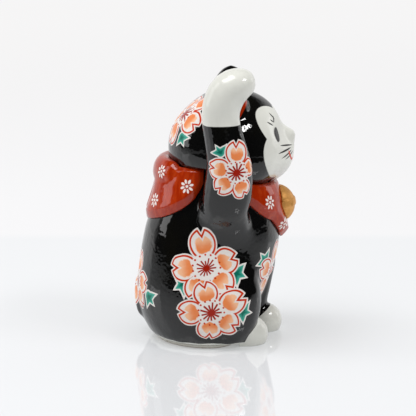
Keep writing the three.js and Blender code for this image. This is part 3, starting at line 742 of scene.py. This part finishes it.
def brush_marks(tree, face, front, strokes):
    """The cover of strokes on the face."""
    marks = 0.0
    for stroke in strokes:
        here = add(tree, "Mapping", {"Vector": face, **stroke_spot(*stroke)}, **PLACED)
        mark = add(tree, "Group", (here,), node_tree=PATTERNS["stroke"])
        marks = add(tree, "Math.MAXIMUM", (mark, marks))
    return add(tree, "Math.MULTIPLY", (marks, front))


# The hollow of an ear, and the slope and place of the slanting line from which it is red.
EAR_HOLLOW = spot((19.2, -12.6, 103.4), (0.6, -0.78, 0.15), 90, 1)
EAR_HOLLOW["Scale"] = (7.6, 4.4, 6)
EAR_SLOPE = 0.586
EAR_LINE = (44.6, 44.9)


def paint_face(tree, place, paint, raised, colours):
    """Eyes, brows, whiskers, mouth and red inner ears, as a step of the head's painting."""
    side, y, z, folded = fold(tree, place)
    front = add(tree, "Math.LESS_THAN", (y, STROKES_BACK))
    face = add(tree, "CombineXYZ", (side, 0.0, z))
    inks = brush_marks(tree, face, front, BROW_STROKES + WHISKER_STROKES + EYE_STROKES)
    reds = brush_marks(tree, face, front, MOUTH_STROKES)
    ear_place = add(tree, "Mapping", {"Vector": folded, **EAR_HOLLOW}, **PLACED)
    ear_reach = add(tree, "VectorMath.LENGTH", (ear_place,), out="Value")
    ear_oval = add(tree, "MapRange", (ear_reach, 1.0, 0.93), **SOFT)
    ear_slant = add(tree, "Math.MULTIPLY_ADD", (z, EAR_SLOPE, y))
    ear_line = add(tree, "MapRange", (ear_slant, *EAR_LINE), **SOFT)
    inner_ear = add(tree, "Math.MULTIPLY", (ear_oval, ear_line))
    for cover, colour in ((inner_ear, colours.kerchief), (inks, colours.ink), (reds, colours.outline)):
        paint = add(tree, "Mix", {0: cover, 6: paint, 7: rgba(colour)}, **BLEND)
    marks = add(tree, "Math.MAXIMUM", (inks, reds))
    return paint, add(tree, "Math.MAXIMUM", (raised, marks))


# Blossoms, leaves and dot flowers: middle, outward direction, turn from the viewer's right, and radius.
RIGHT_UPPER_BLOSSOM = spot((-29.8, 1.5, 35.7), (-0.98, 0.0, 0.2), 0, 15)
RIGHT_LOWER_BLOSSOM = spot((-31.5, -0.5, 17.0), (-0.99, 0.0, 0.15), 0, 14)
CHEST_BLOSSOM = spot((-8.0, -24.0, 29.5), (-0.27, -0.94, -0.2), -20, 12.6)
BACK_BLOSSOM = spot((-5.0, 30.5, 24.0), (-0.12, 0.98, 0.05), -10, 12.6)
LEFT_UPPER_BLOSSOM = spot((29.0, 5.0, 36.5), (0.98, 0.16, 0.16), -30, 14.6)
LEFT_LOWER_BLOSSOM = spot((31.6, -5.5, 17.5), (0.99, -0.12, -0.03), -16, 13.4)
ARM_BLOSSOM = spot((-39.2, -10.8, 77.9), (-0.99, 0.0, 0.12), 0, 11.6)
BODY_BLOSSOM_LAYERS = (
    ("upper_blossom", (RIGHT_UPPER_BLOSSOM, CHEST_BLOSSOM, BACK_BLOSSOM, LEFT_UPPER_BLOSSOM)),
    ("lower_blossom", (RIGHT_LOWER_BLOSSOM, LEFT_LOWER_BLOSSOM)),
    ("arm_blossom", (ARM_BLOSSOM,)),
)
BODY_LEAVES = (
    spot((-39.6, -4.2, 86.4), (-0.96, 0.27, 0.0), 125, 4.1),
    spot((-29.3, -11.0, 33.3), (-0.88, -0.27, 0.38), -20, 5.6),
    spot((-28.5, 11.1, 28.7), (-0.9, 0.41, 0.12), 215, 5.6),
    spot((-31.3, -13.4, 17.2), (-0.87, -0.49, -0.05), -10, 5.2),
    spot((-17.5, -23.0, 36.0), (-0.6, -0.8, -0.08), 130, 5.4),
    spot((-17.6, 25.8, 20.3), (-0.61, 0.79, -0.03), -40, 5.6),
    spot((28.8, -8.1, 36.0), (0.92, -0.2, 0.3), 190, 5.6),
    spot((29.2, 13.4, 24.7), (0.92, 0.36, 0.1), -20, 5.6),
)
CROWN_BLOSSOM = spot((-8.0, 10.9, 97.4), (-0.25, 0.73, 0.64), -31, 14.2)
TEMPLE_BLOSSOM = spot((24.0, -1.0, 89.0), (0.86, 0.16, 0.36), 9, 10.6)
HEAD_BLOSSOM_LAYERS = (("arm_blossom", (CROWN_BLOSSOM, TEMPLE_BLOSSOM)),)
HEAD_LEAVES = (
    spot((-16.6, 11.8, 88.6), (-0.52, 0.82, 0.22), 305, 4.7),
    spot((-12.8, 3.8, 101.2), (-0.45, 0.39, 0.8), 0, 4),
    spot((25.2, 5.6, 81.0), (0.9, 0.4, 0.0), -60, 5),
)
FLAP_DOTS = (
    spot((-23.4, 9.4, 69.0), (-0.85, 0.42, 0.3), 20, 3.2),
    spot((-12.5, 22.8, 61.0), (-0.5, 0.84, 0.21), 8, 3.2),
    spot((23.4, 9.4, 69.0), (0.85, 0.42, 0.3), 12, 3.2),
    spot((12.5, 22.8, 61.0), (0.5, 0.84, 0.21), 30, 3.2),
    spot((-13.3, 20.4, 73.5), (-0.44, 0.84, 0.32), 20, 3),
)
BIB_DOTS = (
    spot((-16.7, -24.7, 60.8), (-0.66, -0.7, 0.2), 10, 3.2),
    spot((-7.0, -31.4, 49.6), (-0.4, -0.88, -0.2), 25, 3.2),
    spot((16.7, -24.7, 60.8), (0.66, -0.7, 0.2), 30, 3.2),
    spot((7.0, -31.4, 49.6), (0.4, -0.88, -0.2), 5, 3.2),
    spot((24.0, -8.0, 66.0), (0.95, -0.3, 0.2), 0, 3.2),
)


def enamelled_cloth(name, colours, dot_spots):
    """Kerchief in overglaze red: a glossy coat, brushed in streaks, with dabs of white enamel."""
    material, tree, place = new_paint(name)
    streaked = add(tree, "Mapping", {"Vector": place, "Scale": (0.5, 0.5, 0.12)})
    streaks = add(tree, "TexNoise", {"Vector": streaked, "Scale": 1.0, "Detail": 4.0})
    thin = add(tree, "MapRange", (streaks, 0.42, 0.68), **SOFT)
    reds = {0: thin, 6: rgba(colours.kerchief), 7: rgba(colours.kerchief_thin)}
    paint = add(tree, "Mix", reds, **BLEND)
    dabs, dab_colour = lay(tree, place, dot_spots, PATTERNS["dot_flower"])
    paint = add(tree, "Mix", {0: dabs, 6: paint, 7: dab_colour}, **BLEND)
    roughness = add(tree, "MapRange", (dabs, 0.0, 1.0, RED_ROUGH, DAB_ROUGH))
    fire(tree, place, paint, dabs, roughness, RED_SHINE)
    return material


def gold_lustre(colours):
    """Gold lustre fired on a thin glaze: satin metal, browner where it was brushed thin."""
    material, tree, place = new_paint("gold_lustre_brushed")
    patches = add(tree, "TexNoise", {"Vector": place, "Scale": 0.35, "Detail": 4.0})
    worn = add(tree, "MapRange", (patches, 0.45, 0.8), **SOFT)
    paint = add(tree, "Mix", {0: worn, 6: rgba(colours.gold), 7: rgba(colours.gold_worn)}, **BLEND)
    grain = add(tree, "TexNoise", {"Vector": place, "Scale": 1.4, "Detail": 2.0})
    roughness = add(tree, "MapRange", (grain, 0.3, 0.7, 0.42, 0.54))
    brushed = add(tree, "Bump", {"Strength": 0.15, "Distance": 0.05 * MM, "Height": grain})
    coat = {"Base Color": paint, "Metallic": 0.45, "Roughness": roughness, "Normal": brushed}
    add(tree, "OutputMaterial", (add(tree, "BsdfPrincipled", coat),))
    return material


def bare_porcelain(colours):
    """Unglazed porcelain, ground smooth: matt and chalky, and browner in a thin line along its lowest edge.
    """
    material, tree, place = new_paint("porcelain_bare_ground")
    speckle = add(tree, "TexNoise", {"Vector": place, "Scale": 2.2, "Detail": 3.0})
    shade = add(tree, "MapRange", (speckle, 0.3, 0.7, 0.92, 1.0))
    clay = add(tree, "VectorMath.MULTIPLY", (tuple(colours.bare), shade))
    z = add(tree, "SeparateXYZ", (place,), out="Z")
    # Browner in a thin, uneven line along the lowest half millimetre of the foot.
    low = add(tree, "Math.MULTIPLY_ADD", (speckle, -0.5, z))
    bottom_brown = add(tree, "MapRange", (low, 0.25, -0.05), **SOFT)
    part = add(tree, "Math.MULTIPLY", (bottom_brown, 0.75))
    paint = add(tree, "Mix", {0: part, 6: clay, 7: rgba(colours.bottom_brown)}, **BLEND)
    grit = add(tree, "Bump", {"Strength": 0.3, "Distance": 0.08 * MM, "Height": speckle})
    shader = add(tree, "BsdfPrincipled", {"Base Color": paint, "Roughness": 0.55, "Normal": grit})
    add(tree, "OutputMaterial", (shader,))
    return material


# Where the camera looks, in millimetres from the cat's axis, how steeply down, and its sensor's width.
CAMERA_AIM = Vector((-1.03, 0.85, 55.15))
CAMERA_TILT = math.radians(12)
SENSOR_WIDTH = 36
# The table's size in metres, and how far below the cat's foot it lies.
TABLE_SIZE = 6
TABLE_DROP = 0.02 * MM
# Where the table's sheet ends behind the cat, half the blur there, and where the paper is brightest.
SHEET_EDGE = 0.191
SHEET_BLUR = 0.01
PAPER_END = 1.1
# Light that comes through the sheet, and through the paper at its two ends.
SHEET_GLOW = 0.23
PAPER_GLOW = (0.262, 0.315)
# Light of the studio's dark and pale parts, and of the air as a lamp and as what is seen of it.
DARK_LIGHT = 0.012
PALE_LIGHT = 0.8
AIR_LIGHT = 0.76
AIR_SEEN = 0.92
# The black card's size, how far from the cat's middle it starts, and its height, in metres.
CARD_SIZE = 1.6
CARD_EDGE = 0.17
CARD_RISE = 0.1 * MM
# Softboxes: place and size in metres, power in watts. All face one place.
LAMP_AIM = Vector((0, 0, 0.06))
LAMPS = (
    ("softbox_top", (-0.15, 0.35, 0.95), (0.5, 0.5), 4.5),
    ("softbox_back_left", (0.1, 0.95, 0.45), (0.35, 0.7), 1.5),
    ("softbox_front_left", (0.45, -0.9, 0.35), (0.25, 0.35), 0.35),
    ("window_pane_back", (-0.47, -0.58, 0.85), (0.085, 0.13), 0.95),
    ("window_pane_middle", (-0.37, -0.65, 0.85), (0.085, 0.13), 0.95),
    ("window_pane_front", (-0.27, -0.72, 0.85), (0.085, 0.13), 0.95),
)


def show_in_mirrors_only(thing):
    """Hides a stage object from all but reflections."""
    thing.visible_camera = False
    thing.visible_diffuse = False
    thing.visible_shadow = False


class CAT_OT_stage(bpy.types.Operator):
    """Sets the white table, the studio round it, the lamps and the camera"""

    bl_idname = "cat.stage"
    bl_label = "Stage"

    def execute(self, context):
        sizes, colours = context.scene.cat_sizes, context.scene.cat_colours
        context.scene.view_settings.view_transform = "Standard"
        self.lay_table(colours)
        self.hang_surround()
        self.lay_card()
        self.light_world(context)
        self.place_lamps()
        aim = AXIS + CAMERA_AIM * MM
        back = Vector((-math.cos(CAMERA_TILT), 0, math.sin(CAMERA_TILT)))
        bpy.ops.object.camera_add(location=aim + back * sizes.camera_distance)
        camera = context.object
        camera.rotation_euler = (-back).to_track_quat("-Z", "Y").to_euler()
        camera.data.lens = sizes.lens
        camera.data.sensor_width = SENSOR_WIDTH
        context.scene.camera = camera
        return {"FINISHED"}

    def lay_table(self, colours):
        """A sheet of white acrylic, polished and lit from below, with paler paper running on behind it."""
        bpy.ops.mesh.primitive_plane_add(size=TABLE_SIZE, location=(0, 0, -TABLE_DROP))
        table = bpy.context.object
        table.name = "table"
        material, tree = empty_material("acrylic_sheet_polished")
        x = add(tree, "SeparateXYZ", (add(tree, "TexCoord", out="Object"),))
        beyond = add(tree, "MapRange", (x, SHEET_EDGE - SHEET_BLUR, SHEET_EDGE + SHEET_BLUR), **SOFT)
        paper = add(tree, "MapRange", (x, SHEET_EDGE, PAPER_END, *PAPER_GLOW))
        glow = add(tree, "MapRange", (beyond, 0.0, 1.0, SHEET_GLOW, paper))
        tints = {0: beyond, 6: rgba(colours.sheet_tint), 7: rgba(colours.paper_tint)}
        tint = add(tree, "Mix", tints, **BLEND)
        sheet = {"Base Color": rgba(colours.floor), "Roughness": 0.035, "IOR": 1.5}
        light = {"Emission Color": tint, "Emission Strength": glow}
        add(tree, "OutputMaterial", (add(tree, "BsdfPrincipled", {**sheet, **light}),))
        table.data.materials.append(material)

    def hang_surround(self):
        """A studio that only reflections see: dark on the camera's side, pale behind the figurine."""
        bpy.ops.mesh.primitive_uv_sphere_add(segments=48, ring_count=24, radius=2.2)
        surround = bpy.context.object
        surround.name = "studio_surround"
        material, tree = empty_material("studio_cloth_woven")
        x = add(tree, "SeparateXYZ", (add(tree, "TexCoord", out="Object"),))
        pale = add(tree, "MapRange", (x, 0.5, 1.1), **SOFT)
        low = add(tree, "MapRange", (x.node.outputs["Z"], 1.5, 0.9), **SOFT)
        sweep = add(tree, "Math.MULTIPLY", (pale, low))
        level = add(tree, "MapRange", (sweep, 0.0, 1.0, DARK_LIGHT, PALE_LIGHT))
        add(tree, "OutputMaterial", (add(tree, "Emission", {"Strength": level}),))
        surround.data.materials.append(material)
        show_in_mirrors_only(surround)

    def lay_card(self):
        """A black card on the table, out of the camera's picture, that only reflections see."""
        middle = (-CARD_EDGE - CARD_SIZE / 2, 0, CARD_RISE)
        bpy.ops.mesh.primitive_plane_add(size=CARD_SIZE, location=middle)
        card = bpy.context.object
        card.name = "black_card"
        material, tree = empty_material("card_black_matt")
        add(tree, "OutputMaterial", (add(tree, "Emission", {"Strength": DARK_LIGHT}),))
        card.data.materials.append(material)
        show_in_mirrors_only(card)

    def light_world(self, context):
        """Pale air all round, which lights less than it shows to the camera and in reflections."""
        world = bpy.data.worlds.new("studio_air")
        world.use_nodes = True
        tree = world.node_tree
        tree.nodes.clear()
        path = add(tree, "LightPath", out="Is Camera Ray")
        seen = add(tree, "Math.MAXIMUM", (path, path.node.outputs["Is Glossy Ray"]))
        level = add(tree, "MapRange", (seen, 0.0, 1.0, AIR_LIGHT, AIR_SEEN))
        add(tree, "OutputWorld", (add(tree, "Background", {"Strength": level}),))
        context.scene.world = world

    def place_lamps(self):
        for name, place, size, power in LAMPS:
            bpy.ops.object.light_add(type="AREA", location=place)
            lamp = bpy.context.object
            lamp.name = name
            lamp.rotation_euler = (LAMP_AIM - Vector(place)).to_track_quat("-Z", "Y").to_euler()
            lamp.data.shape = "RECTANGLE"
            lamp.data.size, lamp.data.size_y = size
            lamp.data.energy = power


# Rubs where the raised arm runs into the flank: middle and reach in millimetres, and smoothing steps.
ARM_RUBS = (
    ((-28, 4, 58), 9, 260),
    ((-28, -16, 56), 10, 300),
    ((-33, -5, 55), 9, 60),
    ((-29, -9, 40), 20, 1200),
)


class CAT_OT_body(bpy.types.Operator):
    """Glazes the torso, tail, legs and raised arm as one coat"""

    bl_idname = "cat.body"
    bl_label = "Glazed body"

    def execute(self, context):
        sizes, colours = context.scene.cat_sizes, context.scene.cat_colours
        legs = ("raised_arm", "lowered_foreleg", "right_hind_foot", "left_hind_foot")
        nodes = ("torso_shell", "tail", *legs)
        piece = cast_copy(nodes, "glazed_body", sizes.glaze_cover)
        flow_glaze(piece, sizes, sizes.body_grain, steps=28, neighbours=("foot_slab", "head_shell"))
        for middle, reach, steps in ARM_RUBS:
            rub(piece, near_point(AXIS + Vector(middle) * MM, reach * MM), steps)
        name = "porcelain_black_glaze_body"
        material = painted_glaze(name, colours, body_white, BODY_BLOSSOM_LAYERS, BODY_LEAVES)
        hand_over(piece, material, nodes)
        return {"FINISHED"}


class CAT_OT_head(bpy.types.Operator):
    """Glazes the head with its ears, and paints the face"""

    bl_idname = "cat.head"
    bl_label = "Glazed head"

    def execute(self, context):
        sizes, colours = context.scene.cat_sizes, context.scene.cat_colours
        nodes = ("head_shell", "right_ear", "left_ear")
        piece = cast_copy(nodes, "glazed_head", sizes.glaze_cover)
        flow_glaze(piece, sizes, sizes.fine_grain, steps=28, neighbours=("torso_shell",))
        for ear in ("right_ear", "left_ear"):
            points = [vertex.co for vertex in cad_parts[ear].data.vertices]
            tip = max(points, key=lambda point: point.z)
            rub(piece, near_point(tip, sizes.ear_round), steps=60)
        name = "porcelain_black_glaze_head"
        material = painted_glaze(name, colours, head_white, HEAD_BLOSSOM_LAYERS, HEAD_LEAVES, paint_face)
        hand_over(piece, material, nodes)
        return {"FINISHED"}


class CAT_OT_kerchief(bpy.types.Operator):
    """Enamels the bib, and the two back flaps with the knot"""

    bl_idname = "cat.kerchief"
    bl_label = "Kerchief"

    def execute(self, context):
        sizes, colours = context.scene.cat_sizes, context.scene.cat_colours
        touched = ("torso_shell", "head_shell", "raised_arm")
        flow = {"steps": 30, "neighbours": touched, "keep_creases": True}
        bib = cast_copy(("bib",), "enamelled_bib", sizes.glaze_cover)
        flow_glaze(bib, sizes, sizes.fine_grain, **flow)
        cloth = enamelled_cloth("porcelain_red_enamel_bib", colours, BIB_DOTS)
        hand_over(bib, cloth, ("bib",))
        flaps = ("right_kerchief_flap", "left_kerchief_flap")
        tied = cast_copy((*flaps, "kerchief_knot"), "enamelled_flaps_and_knot", sizes.glaze_cover)
        flow_glaze(tied, sizes, sizes.fine_grain, **flow)
        for flap in flaps:
            rub(tied, near_both(flap, "kerchief_knot", sizes.knot_reach), steps=40)
        cloth = enamelled_cloth("porcelain_red_enamel_flaps", colours, FLAP_DOTS)
        hand_over(tied, cloth, (*flaps, "kerchief_knot"))
        return {"FINISHED"}


class CAT_OT_bell(bpy.types.Operator):
    """Gilds the bell"""

    bl_idname = "cat.bell"
    bl_label = "Bell"

    def execute(self, context):
        sizes, colours = context.scene.cat_sizes, context.scene.cat_colours
        piece = cast_copy(("bell",), "gilded_bell", sizes.glaze_cover)
        flow_glaze(piece, sizes, sizes.bell_grain, steps=14, neighbours=("bib",))
        hand_over(piece, gold_lustre(colours), ("bell",))
        return {"FINISHED"}


class CAT_OT_foot(bpy.types.Operator):
    """Rounds the unglazed foot"""

    bl_idname = "cat.foot"
    bl_label = "Unglazed foot"

    def execute(self, context):
        sizes, colours = context.scene.cat_sizes, context.scene.cat_colours
        piece = cast_copy(("foot_slab",), "unglazed_foot", 0)
        flow_glaze(piece, sizes, sizes.bell_grain, steps=10, ground_hold=0.1 * MM)
        hand_over(piece, bare_porcelain(colours), ("foot_slab",))
        return {"FINISHED"}


class CAT_PT_making(bpy.types.Panel):
    """Lists the steps that dress the cat"""

    bl_idname = "CAT_PT_making"
    bl_label = "Lucky cat"
    bl_space_type = "VIEW_3D"
    bl_region_type = "UI"
    bl_category = "Lucky cat"

    def draw(self, context):
        for settings in (context.scene.cat_sizes, context.scene.cat_colours):
            box = self.layout.box()
            for key in settings.__annotations__:
                box.prop(settings, key)
        for step in STEPS:
            self.layout.operator(step.bl_idname)


STEPS = (CAT_OT_stage, CAT_OT_body, CAT_OT_head, CAT_OT_kerchief, CAT_OT_bell, CAT_OT_foot)
CLASSES = (CatSizes, CatColours, *STEPS, CAT_PT_making)


def register():
    for each in CLASSES:
        bpy.utils.register_class(each)
    bpy.types.Scene.cat_sizes = PointerProperty(type=CatSizes)
    bpy.types.Scene.cat_colours = PointerProperty(type=CatColours)


def unregister():
    del bpy.types.Scene.cat_colours
    del bpy.types.Scene.cat_sizes
    for each in reversed(CLASSES):
        bpy.utils.unregister_class(each)


def main():
    register()
    colours = bpy.context.scene.cat_colours
    for name, blossom in BLOSSOMS.items():
        PATTERNS[name] = blossom_brushwork(name, colours, *blossom)
    PATTERNS["leaf"] = leaf_brushwork(colours)
    PATTERNS["dot_flower"] = dot_flower_brushwork(colours)
    PATTERNS["stroke"] = stroke_brushwork()
    bpy.ops.cat.stage()
    bpy.ops.cat.body()
    bpy.ops.cat.head()
    bpy.ops.cat.kerchief()
    bpy.ops.cat.bell()
    bpy.ops.cat.foot()


if __name__ == "__main__":
    main()
